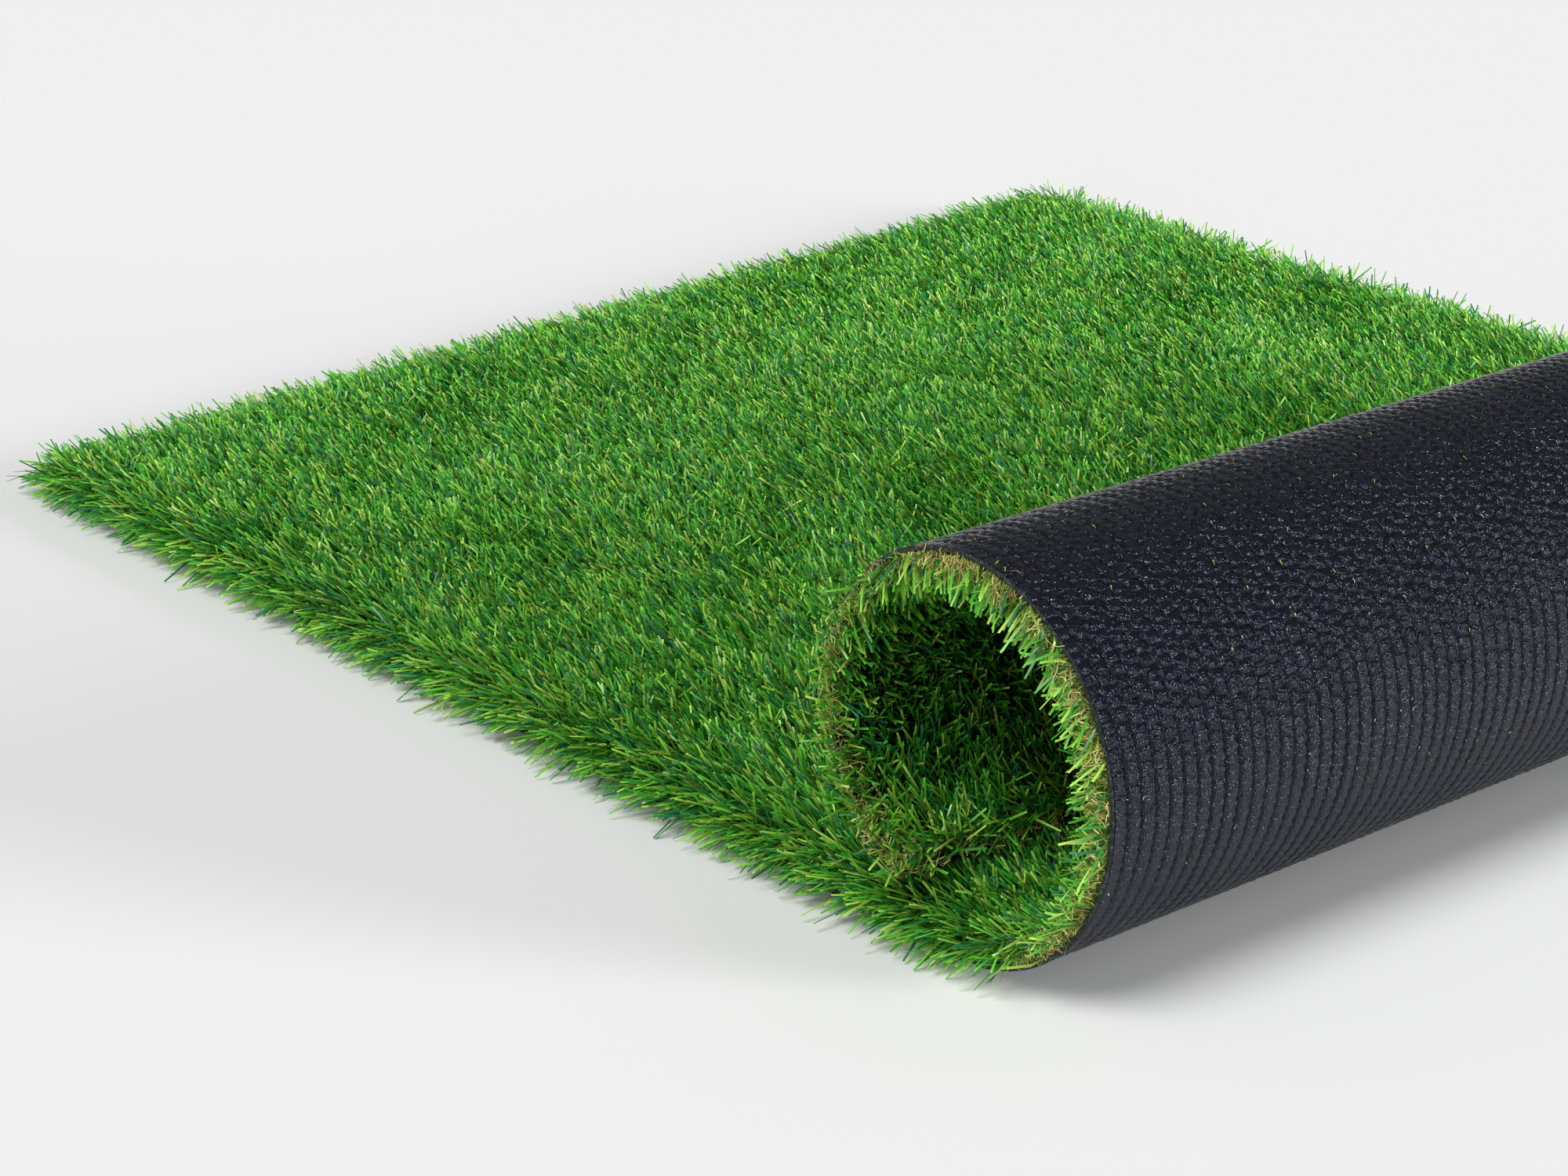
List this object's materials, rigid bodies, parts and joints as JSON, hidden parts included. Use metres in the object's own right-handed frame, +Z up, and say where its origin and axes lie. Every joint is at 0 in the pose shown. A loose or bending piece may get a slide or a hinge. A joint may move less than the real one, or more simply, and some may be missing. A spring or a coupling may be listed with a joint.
{
  "type": "roll of artificial grass",
  "caption": "Sheet of artificial grass laid flat, its near end turned up into one open roll with the grass inside and the dark coated backing outside.",
  "frame": {"origin": "middle of the bounding box, on the ground", "axes": "+X along the sheet from its far cut to the roll, +Y along the roll's axis from the front edge to the back edge, +Z up"},
  "size_m": [1.1052, 1.03, 0.2175],
  "materials": {
    "coated_backing": "black latex coating over woven cloth, half gloss, ribbed by the rows of stitches beneath it",
    "grass_yarn": "cut polyethylene ribbon in two greens with a slight sheen, over curled brown thatch yarn"
  },
  "bodies": {
    "root": {"backing": "coated_backing", "grass_pile": "grass_yarn"}
  },
  "joints": []
}
